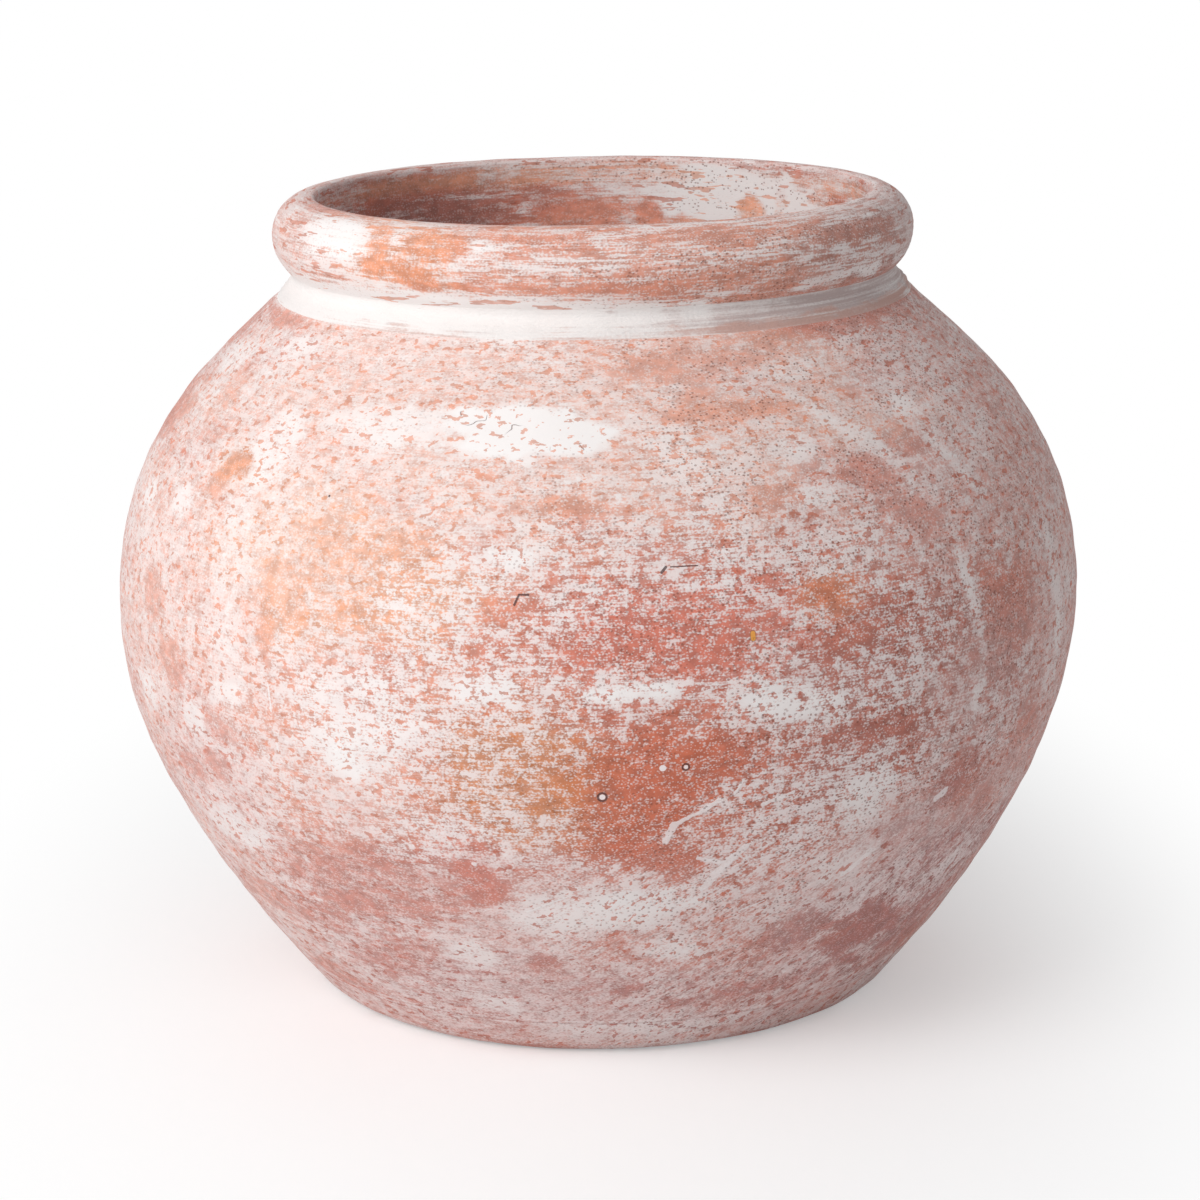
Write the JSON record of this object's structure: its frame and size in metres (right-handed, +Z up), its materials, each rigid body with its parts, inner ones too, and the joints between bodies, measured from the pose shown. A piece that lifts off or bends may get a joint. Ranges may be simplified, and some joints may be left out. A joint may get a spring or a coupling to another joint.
{
  "type": "terracotta water jar",
  "caption": "Round-bellied terracotta water jar with a wide mouth, a thick rolled rim and a flat foot, limewashed.",
  "frame": {"origin": "centre of the foot, on the plane that the jar stands on", "axes": "+Z up along the jar's own axis, out of the mouth; -Y faces the camera of the picture and +X is to its right"},
  "size_m": [0.36, 0.36, 0.2967],
  "materials": {
    "limewashed_terracotta": "matt fired clay under a worn, brushed lime wash",
    "raw_terracotta": "bare matt fired clay",
    "pale_slip": "smooth matt slip"
  },
  "bodies": {
    "root": {"base_slab": "limewashed_terracotta", "lower_bowl": "limewashed_terracotta", "upper_bowl": "limewashed_terracotta", "rolled_rim": "limewashed_terracotta", "corner_coil": "raw_terracotta", "belt_coil": "raw_terracotta", "neck_fillet": "pale_slip"}
  },
  "joints": []
}
